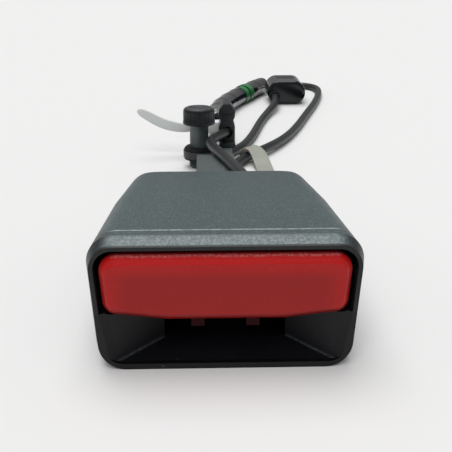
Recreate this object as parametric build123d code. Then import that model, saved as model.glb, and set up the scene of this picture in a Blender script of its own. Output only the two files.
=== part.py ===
"""End-release seat belt buckle with its anchor stalk, captive bolt and switch lead.

Millimetres.  X runs across the buckle, Y from the button to the anchor, Z up.
While a piece is modelled, Y = 0 is the front rim; everything is moved at the end so that the
origin lies under the middle of the buckle and its stalk.
"""
import math
import os

from build123d import *

# ---------------------------------------------------------------- housing
housing_length = 75.0
front_half_top = 29.4
front_half_bottom = 27.55
rear_half_top = 26.2
rear_half_bottom = 24.0
middle_y = 42.0
side_crown = 0.8
front_height = 29.4
rear_height = 22.9
bevel_depth = 3.4
bevel_drop = 1.4
bevel_side = 0.8
top_corner_radius = 5.8
bottom_corner_radius = 6.0
rear_corner_radius = 10.5
rear_edge_radius = 3.0
wall = 1.75
floor_wall = 1.3
seam_height = 13.0
opening_top = 27.2

# ---------------------------------------------------------------- tongue way
channel_half = 13.5
funnel_depth = 9.0
funnel_lip = 1.0
funnel_half_bottom = 24.6
funnel_half_top = 27.1
guide_depth = 12.0

# ---------------------------------------------------------------- button
button_half_top = 26.9
button_half_bottom = 25.95
button_top = 26.6
button_bottom_side = 12.95
button_bottom_middle = 11.3
button_flat_half = 12.3
button_face = -0.9
button_depth = 9.4
button_taper = 1.6
button_corner = 3.0
button_top_corner = 3.5
button_edge = 2.8
dish_depth = 0.4
button_travel = 5.0
button_gap = 0.45
tab_offset = 6.0
tab_width = 2.9
tab_bottom = 7.45
tab_front = 5.4
leg_inner = 16.7
leg_thickness = 3.9
leg_back = 27.4
leg_top = 22.3
leg_bottom = 14.0
leg_step = 20.5
leg_toe = 5.8
leg_toe_front = 27.5
ramp_slope = 0.62
ramp_end = 39.0

# ---------------------------------------------------------------- frame
sheet = 1.6
frame_inner = 13.8
frame_front = 12.6
frame_rear = housing_length - 4.0
frame_lift = 0.1
channel_floor = floor_wall + frame_lift + sheet
frame_wall_top = 22.5
frame_wall_low = 17.0
frame_shoulder = 12.0
frame_slope_end = 17.5
frame_step = 36.0
frame_wall_end = 62.0
pin_slot_gap = 0.15

# ---------------------------------------------------------------- latch
pivot_y = 56.0
pivot_z = 13.0
pivot_radius = 2.0
pivot_clearance = 0.05
pin_head = 0.9
latch_half = 12.6
latch_plate = 2.4
latch_bottom = 11.0
tooth_front = 21.6
tooth_back = 25.2
tooth_half = 4.6
tooth_tip = 1.9
tooth_gap = 0.6
tooth_lead = 1.2
tooth_root = 1.4
tooth_shoulder = 6.5
block_front = 19.8
block_back = 24.2
block_top = 16.5
lug_front = 33.2
lug_back = 36.0
lug_reach = 20.2
lug_gap = 0.15
lug_room = 0.8
lug_window_top = 17.6
boss_wall = 1.9
arm_inner = 8.6
arm_front = 42.0
lock_pin_radius = 1.5
lock_pin_y = 24.0
lock_pin_z = 19.0
leaf_front = 30.0
leaf_back = 58.5
leaf_half = 2.5
leaf_sheet = 0.5
leaf_seat = 17.95
leaf_gap = 0.25
leaf_rest_half = 4.0

# ---------------------------------------------------------------- ejector
ejector_front = 19.0
ejector_back = 42.0
ejector_half = 11.6
ejector_height = 3.9
ejector_gap = 0.15
fork_half = 5.4
fork_back = 35.0
spring_stop = 60.4
stop_half = 4.0
stop_height = 4.6
spring_post = 2.4
spring_post_radius = 0.95

# ---------------------------------------------------------------- springs
ejector_wire = 0.35
ejector_coil = 1.55
button_wire = 0.35
button_coil = 2.0
button_spring_x = 18.6
button_spring_z = 19.6
button_stop = 44.0
stop_reach = 3.2

# ---------------------------------------------------------------- stalk and bolt
stalk_half = 7.0
stalk_sheet = 2.8
strap_gap = 0.45
stalk_start = frame_rear - 8.4
stalk_bend_start = housing_length + 4.0
stalk_bend_end = housing_length + 15.0
stalk_rise = 5.0
stalk_reach = 85.0
eye_x = -6.2
eye_y = housing_length + stalk_reach
stalk_dip_start = eye_y - 22.0
stalk_dip_end = eye_y - 12.5
room_under_eye = 0.7
stalk_bend_radius = 4.0
stalk_end = eye_y + 6.0
eye_radius = 6.4
bolt_radius = 4.0
eye_clearance = 0.3
bolt_head_bottom = 17.4
bolt_head_radius = 5.6
bolt_head_height = 5.4
bolt_thread_top = 3.6
bolt_tip_chamfer = 0.8
bolt_shank_radius = 3.7
shank_clearance = 0.05
cap_radius = 6.4
cap_bottom = 17.9
cap_top = 24.5
cap_edge = 1.4
bobbin_radius = 6.0
bobbin_bottom = 3.75
bobbin_flange = 1.4
seat_gap = 0.02
rivet_radius = 1.9
rivet_head = 2.9
rivet_head_height = 1.2
rivet_spacing = 7.2
rivet_set_back = 4.6

# ---------------------------------------------------------------- belt switch
carrier_front = 45.5
carrier_back = 60.0
carrier_low = 2.9
carrier_high = 9.4
carrier_depth = 5.0
board_thickness = 1.2
sensor_size = 3.2
sensor_y = 51.0
sensor_z = 4.6
sensor_thickness = 1.0
board_inset = 1.2
board_rise = 1.5
carrier_wall = 0.9
carrier_floor = 1.2
window_front = 47.0
window_back = 55.0
magnet_length = 4.0
magnet_height = 2.5
magnet_depth = 2.1
magnet_front = 37.0
magnet_lift = 0.7
magnet_inset = 0.1

# ---------------------------------------------------------------- lead, its clip and its ties
lead_diameter = 3.8
tube_sides = 8
grommet_x = stalk_half + lead_diameter / 2 + 1.1
grommet_z = 9.2
grommet_neck = 3.0
grommet_gap = 0.05
grommet_flange = 1.4
grommet_taper = 8.0
grommet_grooves = 3
grommet_pitch = 2.2
groove_width = 0.9
conduit_radius = 4.9
conduit_bore = lead_diameter / 2 + 0.4
band_radius = 5.1
conduit_start = 118.0
conduit_end = 246.0
band_start = 206.0
band_end = 224.0
clip_x = 5.2
clip_half = 3.3
clip_front = eye_y + 7.5
clip_back = eye_y + 15.5
clip_bottom = 8.5
clip_top = 24.0
clip_foot = 1.8
clip_gap = 0.65
peg_y = eye_y + 3.4
peg_radius = 1.2
clip_tie_y = eye_y + 19.0
clip_tie_width = 4.8
clip_tie_thickness = 1.2
tie_head_half = 2.2
tie_head_reach = 8.6
clip_tie_bore = lead_diameter / 2 + 0.6
lead_tie_width = 6.6
lead_tie_thickness = 1.0
lead_tie_left = 16.8
lead_tie_share = 0.6
lead_tie_front = eye_y - 46.0
lead_tie_run = 24
tail_places = [(-3.0, 12.5), (-7.5, 12.0), (-12.7, 11.9), (-18.0, 12.6), (-22.8, 14.2),
               (-27.5, 17.0), (-33.0, 20.0)]
tail_turns = [0, 45, 90, 90, 90, 90, 90]
tail_widths = [4.8, 4.5, 4.2, 4.0, 3.8, 3.6, 2.4]

# ---------------------------------------------------------------- connector
connector_x = 42.3
connector_front = eye_y + 127.0
connector_entry = 5.0
seal_radius = 3.0
connector_length = 22.0
connector_entry_x = 35.4
connector_half = 10.5
connector_height = 13.2
connector_corner = 6.3
connector_edge = 2.0
socket_depth = 14.0
socket_wall = 2.0
socket_corner = 4.2
rib_half = 5.0
rib_pitch = 3.0
rib_width = 1.2
rib_depth = 0.5
pin_pitch = 6.0
pin_size = 1.5
pin_length = 11.0
pin_window = 1.3
lock_half = 5.6
lock_depth = 3.0
lock_rise = 3.6

button_back = button_face + button_depth
board_x = frame_inner + sheet + carrier_depth - carrier_wall - board_thickness - 0.05
stalk_top = channel_floor + stalk_sheet + stalk_rise
stalk_dip = channel_floor + stalk_rise - lead_diameter - room_under_eye
eye_top = stalk_top - stalk_dip
eye_bottom = eye_top - stalk_sheet
lead_on_stalk = stalk_top + lead_diameter / 2 + 0.3
lead_at_clip = lead_on_stalk - 0.5
lead_on_floor = lead_diameter / 2 + 0.2
lead_in_conduit = band_radius
lead_in_tie = lead_diameter / 2 + lead_tie_thickness + 0.45
grommet_end = housing_length + 2 + grommet_taper
overall_length = clip_back


def section(y, half_top, half_bottom, low, high, r_top, r_bottom):
    """A rounded trapezoid across the buckle at the given place along it."""
    outline = Polyline(
        (-half_bottom, low), (half_bottom, low), (half_top, high), (-half_top, high), close=True
    )
    face = Plane.XZ.offset(-y) * make_face(outline)
    top = face.vertices().group_by(Axis.Z)[-1]
    face = fillet(top, r_top)
    bottom = face.vertices().group_by(Axis.Z)[0]
    return fillet(bottom, r_bottom)


def profile(points, half, centre=0.0):
    """A plate whose outline is drawn in the YZ plane, as thick as 2 * half across X."""
    face = Plane.YZ.offset(centre) * make_face(Polyline(*points, close=True))
    return extrude(face, half, both=True)


def block(x0, x1, y0, y1, z0, z1):
    """A plain box between two corners."""
    return Pos((x0 + x1) / 2, (y0 + y1) / 2, (z0 + z1) / 2) * Box(x1 - x0, y1 - y0, z1 - z0)


def rod(axis, centre, radius, length):
    """A round bar centred on a point, along X, Y or Z."""
    turn = {"X": Rotation(0, 90, 0), "Y": Rotation(90, 0, 0), "Z": Rotation(0, 0, 0)}[axis]
    return Pos(*centre) * turn * Cylinder(radius, length)


def mirrored(half):
    """The piece with its mirror image across the middle plane."""
    return half + mirror(half, Plane.YZ)


def housing_form(inset, low):
    """The outer form of the housing, or its inner hollow when inset by the wall."""
    lip = inset > 0
    first_top = opening_top if lip else front_height - bevel_drop
    first_side = inset if lip else bevel_side
    radius = top_corner_radius - inset
    base_radius = bottom_corner_radius - inset
    end = housing_length - inset
    front = section(
        -1.0 if lip else 0.0, front_half_top - first_side, front_half_bottom - first_side,
        low, first_top, radius - (0 if lip else bevel_side), base_radius,
    )
    crease = section(
        bevel_depth, front_half_top - inset, front_half_bottom - inset,
        low, first_top if lip else front_height, radius, base_radius,
    )
    share = (middle_y - bevel_depth) / (housing_length - bevel_depth)
    crown = side_crown - inset
    middle_top = front_half_top + (rear_half_top - front_half_top) * share + crown
    middle = section(
        middle_y, middle_top,
        front_half_bottom + (rear_half_bottom - front_half_bottom) * share + crown, low,
        (first_top if lip else front_height) * (1 - share) + (rear_height - inset) * share,
        radius, base_radius,
    )
    back = section(
        end, rear_half_top - inset, rear_half_bottom - inset, low, rear_height - inset,
        radius, base_radius,
    )
    body = loft([front, crease], ruled=True) + loft([crease, middle], ruled=True)
    body = body + loft([middle, back], ruled=True)
    plan = make_face(Polyline(
        (-40, -2), (40, -2), (40, middle_y), (middle_top + 0.02, middle_y),
        (rear_half_top - inset + 0.02, end), (inset - rear_half_top - 0.02, end),
        (-middle_top - 0.02, middle_y), (-40, middle_y), close=True,
    ))
    rear = plan.vertices().group_by(Axis.Y)[-1]
    plan = fillet(rear, rear_corner_radius - inset)
    body = body & extrude(plan, 60, both=True)
    rear_edges = body.edges().filter_by(
        lambda e: e.center().Y > end - rear_corner_radius * 0.75
        and e.bounding_box().size.Z < 0.9 and e.center().Z > 8
    )
    return fillet(rear_edges, rear_edge_radius - inset * 0.5)


def button_outline(y, grow=0.0, taper=0.0):
    """The button's outline across X and Z, grown by a gap or drawn in by a taper."""
    half_top = button_half_top + grow - taper / 2
    half_bottom = button_half_bottom + grow - taper / 2
    high = button_top + grow - taper
    low = button_bottom_side - grow
    middle = button_bottom_middle - grow
    face = Plane.XZ.offset(-y) * make_face(Polyline(
        (-half_top, high), (half_top, high), (half_bottom, low), (button_flat_half, middle),
        (-button_flat_half, middle), (-half_bottom, low), close=True))
    face = fillet(face.vertices().group_by(Axis.Z)[-1], button_top_corner + taper / 2)
    lower = face.vertices().filter_by(
        lambda v: abs(v.X) > half_bottom - 0.1 and v.Z < low + 0.1)
    return fillet(lower, button_corner)


def make_upper_cover():
    outer = housing_form(0.0, 0.0)
    hollow = housing_form(wall, floor_wall)
    shell = (outer - hollow) & block(-60, 60, -5, 100, seam_height, 60)
    stop = block(leg_inner, leg_inner + leg_thickness + 1, button_stop, button_stop + wall,
                 button_spring_z - stop_reach, 60)
    rest = block(-leaf_rest_half, leaf_rest_half, leaf_back - 2, leaf_back + 1.5,
                 leaf_seat + leaf_sheet + leaf_gap, 60)
    return shell + mirrored(stop & hollow) + (rest & hollow)


def make_lower_cover():
    outer = housing_form(0.0, 0.0)
    hollow = housing_form(wall, floor_wall)
    shell = (outer - hollow) & block(-60, 60, -5, 100, -5, seam_height)
    guide = outer & block(-60, 60, 0, guide_depth, 0, seam_height)
    way = extrude(button_outline(-1, button_gap), 60, dir=(0, 1, 0))
    mouth = Plane.XZ * make_face(Polyline(
        (-funnel_half_bottom, funnel_lip), (funnel_half_bottom, funnel_lip),
        (funnel_half_top, seam_height + 2), (-funnel_half_top, seam_height + 2), close=True))
    throat = Plane.XZ.offset(-funnel_depth) * make_face(Polyline(
        (-channel_half, channel_floor), (channel_half, channel_floor),
        (channel_half, seam_height + 2), (-channel_half, seam_height + 2), close=True))
    funnel = loft([mouth, throat], ruled=True)
    channel = block(-channel_half, channel_half, funnel_depth, guide_depth + 1,
                    channel_floor, seam_height + 2)
    cover = shell + (guide - way - funnel - channel)
    strap_way = block(-stalk_half - strap_gap, stalk_half + strap_gap, housing_length - 8,
                      housing_length + 5, channel_floor - strap_gap,
                      channel_floor + stalk_sheet + strap_gap)
    lead_way = rod("Y", (grommet_x, housing_length, grommet_z), grommet_neck + grommet_gap, 20)
    return cover - strap_way - lead_way


def make_release_button():
    front = button_outline(button_face)
    back = button_outline(button_back, 0, button_taper)
    body = loft([front, back], ruled=True)
    body = fillet(body.edges().group_by(Axis.Y)[0], button_edge)
    middle = (button_top + button_bottom_middle) / 2
    half_chord = (button_top - button_bottom_middle) / 2
    dish_radius = (half_chord ** 2 + dish_depth ** 2) / (2 * dish_depth)
    body = body - rod("X", (0, button_face + dish_depth - dish_radius, middle), dish_radius, 200)
    leg = profile(
        [(button_back, leg_bottom), (button_back, leg_top), (leg_back, leg_top),
         (leg_back, ramp_height(leg_back)), (ramp_end, ramp_height(ramp_end)),
         (ramp_end, leg_toe), (leg_toe_front, leg_toe), (leg_step, leg_bottom)],
        leg_thickness / 2, leg_inner + leg_thickness / 2)
    tab = block(tab_offset - tab_width / 2, tab_offset + tab_width / 2, tab_front, button_back,
                tab_bottom, button_bottom_middle + 1)
    button = body + mirrored(leg) + mirrored(tab)
    return button - rod("X", (0, lock_pin_y, lock_pin_z), lock_pin_radius, 100)


def ramp_height(y):
    """Height of the lifting ramp under the latch lug, at a place along the leg."""
    return latch_bottom - lug_gap - ramp_slope * (y - lug_front)


def make_frame():
    base = block(-frame_inner - sheet, frame_inner + sheet, guide_depth + 0.2, frame_rear,
                 channel_floor - sheet, channel_floor)
    side = profile(
        [(frame_front + 1.0, channel_floor - sheet), (frame_front + 1.0, frame_shoulder),
         (frame_slope_end, frame_wall_top), (frame_step - 2, frame_wall_top),
         (frame_step + 3, frame_wall_low), (frame_wall_end - 4, frame_wall_low),
         (frame_wall_end, frame_shoulder), (frame_wall_end, channel_floor - sheet)],
        sheet / 2, frame_inner + sheet / 2)
    stop = block(-stop_half, stop_half, spring_stop, spring_stop + sheet, channel_floor,
                 channel_floor + stop_height)
    window = block(-tooth_half - tooth_gap, tooth_half + tooth_gap, tooth_front - tooth_gap,
                   tooth_back + tooth_gap, -1, channel_floor + 0.01)
    pin_slot = block(-30, 30, lock_pin_y - lock_pin_radius - pin_slot_gap,
                     lock_pin_y + button_travel + lock_pin_radius + pin_slot_gap,
                     lock_pin_z - lock_pin_radius - pin_slot_gap,
                     lock_pin_z + lock_pin_radius + pin_slot_gap)
    lug_window = block(-30, 30, lug_front - lug_room, lug_back + lug_room,
                       latch_bottom - lug_room, lug_window_top)
    sensor_window = block(frame_inner - 1, frame_inner + sheet + 1, window_front, window_back,
                          channel_floor + 0.4, channel_floor + 4.4)
    pivot = rod("X", (0, pivot_y, pivot_z), pivot_radius, 100)
    frame = base + mirrored(side) + stop - window - pin_slot - lug_window - sensor_window - pivot
    for x, y in rivet_places():
        frame -= rod("Z", (x, y, channel_floor), rivet_radius, 10)
    return frame


def rivet_places():
    """Centres of the rivets that join the stalk to the frame."""
    return [(side * rivet_spacing / 2, stalk_start + rivet_set_back) for side in (-1, 1)]


def make_latch():
    plate = block(-latch_half, latch_half, block_front, pivot_y + 1, latch_bottom,
                  latch_bottom + latch_plate)
    nose = block(-latch_half, latch_half, block_front, block_back, latch_bottom, block_top)
    tooth = profile(
        [(tooth_front + tooth_lead, tooth_tip), (tooth_back, tooth_tip),
         (tooth_back, latch_bottom + 1), (tooth_front - tooth_root, latch_bottom + 1),
         (tooth_front, tooth_shoulder)], tooth_half)
    lugs = block(-lug_reach, lug_reach, lug_front, lug_back, latch_bottom,
                 latch_bottom + latch_plate)
    boss = rod("X", (0, pivot_y, pivot_z), pivot_radius + boss_wall, 2 * latch_half)
    relief = block(-arm_inner, arm_inner, arm_front, pivot_y + 8, latch_bottom - 5,
                   latch_bottom + 10)
    bore = rod("X", (0, pivot_y, pivot_z), pivot_radius + pivot_clearance, 100)
    return plate + nose + tooth + lugs + boss - relief - bore


def make_latch_pivot_pin():
    half = frame_inner + sheet
    pin = rod("X", (0, pivot_y, pivot_z), pivot_radius, 2 * half)
    head = rod("X", (half + pin_head / 2, pivot_y, pivot_z), pivot_radius + pin_head, pin_head)
    return pin + mirrored(head)


def make_lock_pin():
    length = 2 * (leg_inner + leg_thickness)
    pin = rod("X", (0, lock_pin_y, lock_pin_z), lock_pin_radius, length)
    return chamfer(pin.edges().filter_by(GeomType.CIRCLE), 0.3)


def make_latch_spring():
    low = latch_bottom + latch_plate + 0.02
    under = [(leaf_front, low), (leaf_front + 4.0, low), (leaf_back - 6.5, leaf_seat + 0.7),
             (leaf_back, leaf_seat)]
    over = [(y, z + leaf_sheet) for y, z in reversed(under)]
    return profile(under + over, leaf_half)


def make_ejector():
    low = channel_floor + ejector_gap
    body = block(-ejector_half, ejector_half, ejector_front, ejector_back, low,
                 low + ejector_height)
    fork = block(-fork_half, fork_half, ejector_front - 1, fork_back, 0, 20)
    body = body - fork
    body = chamfer(body.edges().filter_by(Axis.X).group_by(Axis.Y)[0], 0.8)
    pocket = block(ejector_half - magnet_depth - magnet_inset, ejector_half + 1, magnet_front,
                   magnet_front + magnet_length, low + magnet_lift,
                   low + magnet_lift + magnet_height)
    post = rod("Y", (0, ejector_back + spring_post / 2, low + ejector_height / 2),
               spring_post_radius, spring_post)
    return body - pocket + post


def make_magnet():
    low = channel_floor + ejector_gap
    return block(ejector_half - magnet_depth - magnet_inset, ejector_half - magnet_inset,
                 magnet_front, magnet_front + magnet_length, low + magnet_lift,
                 low + magnet_lift + magnet_height)


def coil(start, end, radius, wire, turns, centre_x, centre_z):
    """A compression spring along Y with its wire clear of both seats."""
    length = end - start - 2 * wire - 0.04
    path = Helix(pitch=length / turns, height=length, radius=radius)
    profile_plane = Plane(path @ 0, z_dir=path % 0)
    wire_solid = sweep(profile_plane * RegularPolygon(wire, 4), path=path, is_frenet=True)
    return Pos(centre_x, end - wire - 0.02, centre_z) * Rotation(90, 0, 0) * wire_solid


def make_ejector_spring():
    centre = channel_floor + ejector_gap + ejector_height / 2
    return coil(ejector_back, spring_stop, ejector_coil, ejector_wire, 6, 0, centre)


def make_button_springs():
    return [coil(leg_back, button_stop, button_coil, button_wire, 5, side * button_spring_x,
                 button_spring_z) for side in (1, -1)]


def make_switch_carrier():
    """Plastic holder clipped to the outside of the frame's right wall."""
    inner = frame_inner + sheet
    carrier = block(inner, inner + carrier_depth, carrier_front, carrier_back, carrier_low,
                    carrier_high)
    pocket = block(inner + carrier_wall, inner + carrier_depth - carrier_wall,
                   carrier_front + 1, carrier_back - 1, carrier_low + carrier_floor,
                   carrier_high + 1)
    window = block(inner - 1, inner + 1, window_front, window_back, channel_floor + 1.4,
                   carrier_high + 1)
    return carrier - pocket - window


def make_switch_board():
    return block(board_x, board_x + board_thickness, carrier_front + board_inset,
                 carrier_back - board_inset, carrier_low + carrier_floor,
                 carrier_high + board_rise)


def make_hall_sensor():
    return block(board_x - sensor_thickness, board_x, sensor_y - sensor_size / 2,
                 sensor_y + sensor_size / 2, sensor_z, sensor_z + sensor_size)


def make_lead_grommet():
    """Ribbed strain relief seated in the rear wall, tapering to the lead."""
    neck = rod("Y", (grommet_x, housing_length - 0.5, grommet_z), grommet_neck, 5.0)
    flange = rod("Y", (grommet_x, housing_length - wall - grommet_flange * 0.8, grommet_z),
                 grommet_neck + 0.7, grommet_flange)
    taper = Pos(grommet_x, housing_length + 2 + grommet_taper / 2, grommet_z) * Rotation(
        -90, 0, 0) * Cone(grommet_neck, lead_diameter / 2 + 0.5, grommet_taper)
    relief = neck + flange + taper
    for step in range(grommet_grooves):
        place = housing_length + 3.6 + grommet_pitch * step
        groove = rod("Y", (grommet_x, place, grommet_z), grommet_neck + 1, groove_width)
        core = rod("Y", (grommet_x, place, grommet_z), lead_diameter / 2 + 0.2, 2)
        relief = relief - (groove - core)
    return relief


def stalk_line(offset):
    """Points of the stalk's side outline at a height above its underside."""
    low = channel_floor + offset
    return [(stalk_start, low), (stalk_bend_start, low), (stalk_bend_end, low + stalk_rise),
            (stalk_dip_start, low + stalk_rise), (stalk_dip_end, low + stalk_rise - stalk_dip),
            (overall_length + 1, low + stalk_rise - stalk_dip)]


def make_stalk():
    outline = stalk_line(0) + stalk_line(stalk_sheet)[::-1]
    strap = Plane.YZ * make_face(Polyline(*outline, close=True))
    bends = strap.vertices().filter_by(
        lambda v: stalk_bend_start - 1 < v.Y < stalk_dip_end + 1)
    strap = extrude(fillet(bends, stalk_bend_radius), 30, both=True)
    plan = Rectangle(2 * stalk_half, stalk_end - stalk_start).moved(
        Location((0, (stalk_end + stalk_start) / 2)))
    plan = fillet(plan.vertices().group_by(Axis.Y)[-1], 2.0)
    plan = plan + Pos(eye_x, eye_y) * Circle(eye_radius)
    plan = plan - Pos(eye_x, eye_y) * Circle(bolt_radius + eye_clearance)
    plan = plan - Pos(clip_x, peg_y) * Circle(peg_radius)
    for x, y in rivet_places():
        plan = plan - Pos(x, y) * Circle(rivet_radius)
    return strap & extrude(plan, 40, both=True)


def make_stalk_rivets():
    low = channel_floor - sheet
    high = channel_floor + stalk_sheet
    return [rod("Z", (x, y, (low + high) / 2), rivet_radius, high - low)
            + rod("Z", (x, y, high + rivet_head_height / 2), rivet_head, rivet_head_height)
            for x, y in rivet_places()]


def make_anchor_bolt():
    """Captive bolt: its waisted shank can't slip out of the grommet past the thread."""
    thread = rod("Z", (eye_x, eye_y, bolt_thread_top / 2), bolt_radius, bolt_thread_top)
    thread = chamfer(thread.edges().group_by(Axis.Z)[0], bolt_tip_chamfer)
    shank = rod("Z", (eye_x, eye_y, (bolt_thread_top + bolt_head_bottom) / 2),
                bolt_shank_radius, bolt_head_bottom - bolt_thread_top)
    head = Pos(eye_x, eye_y, bolt_head_bottom) * extrude(
        RegularPolygon(bolt_head_radius, 6), bolt_head_height)
    return thread + shank + head


def make_bolt_cap():
    """Moulded cap pressed over the bolt's hexagon."""
    middle = (cap_bottom + cap_top) / 2
    cap = rod("Z", (eye_x, eye_y, middle), cap_radius, cap_top - cap_bottom)
    cap = fillet(cap.edges().group_by(Axis.Z)[-1], cap_edge)
    hollow = bolt_head_bottom + bolt_head_height + seat_gap
    return cap - rod("Z", (eye_x, eye_y, hollow - 10), bolt_head_radius + shank_clearance, 20)


def make_bolt_grommet():
    """Rubber bobbin snapped into the stalk's eye, in which the bolt turns."""
    low = eye_bottom - seat_gap
    high = eye_top + seat_gap
    lower = rod("Z", (eye_x, eye_y, (bobbin_bottom + low) / 2), bobbin_radius,
                low - bobbin_bottom)
    waist = rod("Z", (eye_x, eye_y, (low + high) / 2), bolt_radius + eye_clearance - seat_gap,
                high - low)
    upper = rod("Z", (eye_x, eye_y, high + bobbin_flange / 2), bobbin_radius,
                bobbin_flange)
    upper = chamfer(upper.edges().group_by(Axis.Z)[-1], bobbin_flange / 2)
    bore = rod("Z", (eye_x, eye_y, eye_top), bolt_shank_radius + shank_clearance, 20)
    return lower + waist + upper - bore


def make_lead_clip():
    """Clip behind the stalk's end, held by a peg in the plate, with an ear above the lead."""
    body = block(clip_x - clip_half, clip_x + clip_half, clip_front, clip_back, clip_bottom,
                 clip_top)
    body = fillet(body.edges().filter_by(Axis.Y).group_by(Axis.Z)[-1], clip_half - 0.1)
    foot = block(clip_x - clip_half, clip_x + clip_half, peg_y - peg_radius - 0.5, clip_front + 1,
                 eye_top + seat_gap, eye_top + clip_foot)
    peg = rod("Z", (clip_x, peg_y, (eye_top + eye_bottom) / 2), peg_radius - seat_gap,
              stalk_sheet + 1)
    bore = rod("Y", (clip_x, clip_front, lead_at_clip), lead_diameter / 2 + clip_gap, 40)
    return body + foot + peg - bore


# The lead's route, from the strain relief to the connector, with its height in Z.
lead_route = [
    (grommet_x, grommet_end, grommet_z),
    (grommet_x, grommet_end + 5.0, grommet_z),
    (grommet_x + 0.2, grommet_end + 14.0, lead_on_stalk - 0.8),
    (7.2, grommet_end + 25.0, lead_on_stalk),
    (2.4, grommet_end + 44.0, lead_on_stalk + 0.1),
    (-2.6, eye_y - 12.0, lead_on_stalk),
    (0.6, eye_y - 2.0, lead_on_stalk - 0.1),
    (clip_x, eye_y + 7.5, lead_at_clip),
    (clip_x, eye_y + 20.0, lead_at_clip),
    (4.4, eye_y + 33.0, 10.6),
    (2.0, eye_y + 50.0, 7.4),
    (0.8, eye_y + 70.0, lead_in_conduit + 0.1),
    (3.4, eye_y + 92.0, lead_in_conduit),
    (11.0, eye_y + 117.0, lead_in_conduit),
    (20.6, eye_y + 140.0, lead_in_conduit),
    (29.6, eye_y + 161.0, lead_in_conduit),
    (41.5, eye_y + 176.0, lead_on_floor + 1.0),
    (55.0, eye_y + 180.0, lead_on_floor),
    (65.5, eye_y + 170.0, lead_on_floor),
    (63.5, eye_y + 148.0, lead_on_floor),
    (57.0, eye_y + 120.0, lead_on_floor),
    (49.0, eye_y + 92.0, lead_on_floor),
    (41.0, eye_y + 63.0, lead_on_floor),
    (32.0, eye_y + 36.0, lead_on_floor + 0.4),
    (20.5, eye_y + 13.5, lead_in_tie),
    (11.5, eye_y + 2.5, lead_in_tie - 0.6),
    (6.6, eye_y - 10.0, lead_on_floor),
    (5.0, eye_y - 22.0, lead_on_floor),
    (12.5, eye_y - 42.0, lead_on_floor),
    (12.5, eye_y - 52.4, lead_on_floor),
    (5.2, eye_y - 59.7, lead_on_floor),
    (-5.2, eye_y - 59.7, lead_on_floor),
    (-12.5, eye_y - 52.4, lead_on_floor),
    (-12.5, eye_y - 42.0, lead_on_floor),
    (-2.9, eye_y - 22.0, lead_on_floor),
    (0.6, eye_y - 9.0, lead_on_floor),
    (2.6, eye_y + 4.0, lead_on_floor),
    (7.0, eye_y + 14.5, lead_on_floor),
    (13.2, eye_y + 26.0, lead_on_floor),
    (18.0, eye_y + 44.0, lead_on_floor),
    (22.2, eye_y + 66.0, lead_on_floor),
    (25.6, eye_y + 82.0, lead_on_floor),
    (29.8, eye_y + 97.0, lead_on_floor + 0.5),
    (connector_entry_x, eye_y + 112.0, connector_entry),
    (connector_entry_x, connector_front - 2.0, connector_entry),
]


def route_radii(points):
    """As large an arc at each corner as its two runs allow."""
    radii = []
    for before, here, after in zip(points, points[1:], points[2:]):
        first = Vector(*here) - Vector(*before)
        second = Vector(*after) - Vector(*here)
        half_turn = math.radians(first.get_angle(second)) / 2
        radii.append(0.45 * min(first.length, second.length) / math.tan(half_turn))
    return radii


def lead_path(first=0, last=None):
    """The lead's centre line, or the part of it between two points of the route."""
    points = lead_route[first:last]
    return FilletPolyline(*points, radius=route_radii(points))


def ring_face(outer, inner=0.0):
    """The many-sided section of a lead or a hose."""
    face = RegularPolygon(outer, tube_sides)
    return face if inner == 0.0 else face - RegularPolygon(inner, tube_sides)


def tube(path, outer, inner=0.0):
    """A lead or a hose along a path."""
    start = Plane(path @ 0, z_dir=path % 0)
    return sweep(start * ring_face(outer, inner), path=path)


def make_switch_lead():
    path = lead_path()
    lead = tube(path, lead_diameter / 2)
    print("lead radii", [round(r, 1) for r in route_radii(lead_route)])
    print("lead length", round(path.length, 1), "volume check",
          round(lead.volume / (path.length * ring_face(lead_diameter / 2).area), 4))
    return lead


def part_path(start, end):
    """The lead's centre line between two distances along it."""
    path = lead_path()
    whole = path.length
    return path.trim(start / whole, end / whole)


def make_lead_conduit():
    return tube(part_path(conduit_start, conduit_end), conduit_radius, conduit_bore)


def make_marker_band():
    return tube(part_path(band_start, band_end), band_radius, conduit_radius + 0.05)


def make_clip_tie():
    """Tie round the lead behind its clip, with a tail that twists upright and rises."""
    low = clip_tie_y - clip_tie_width / 2
    ring = rod("Y", (clip_x, clip_tie_y, lead_at_clip), clip_tie_bore + clip_tie_thickness,
               clip_tie_width)
    head = block(clip_x - tie_head_reach, clip_x - tie_head_half, low - 0.5,
                 low + clip_tie_width + 0.5, lead_at_clip - tie_head_half,
                 lead_at_clip + tie_head_half)
    head = fillet(head.edges().filter_by(Axis.Y), 0.8)
    hole = rod("Y", (clip_x, clip_tie_y, lead_at_clip), clip_tie_bore, 20)
    places = [Vector(x, clip_tie_y, z) for x, z in tail_places]
    sections = []
    for i, (place, turn, width) in enumerate(zip(places, tail_turns, tail_widths)):
        ahead = places[min(i + 1, len(places) - 1)] - places[max(i - 1, 0)]
        plane = Plane(place, x_dir=(0, 1, 0), z_dir=ahead)
        face = Rectangle(width, clip_tie_thickness, rotation=turn)
        sections.append(plane * face)
    return ring + head + loft(sections) - hole


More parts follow.
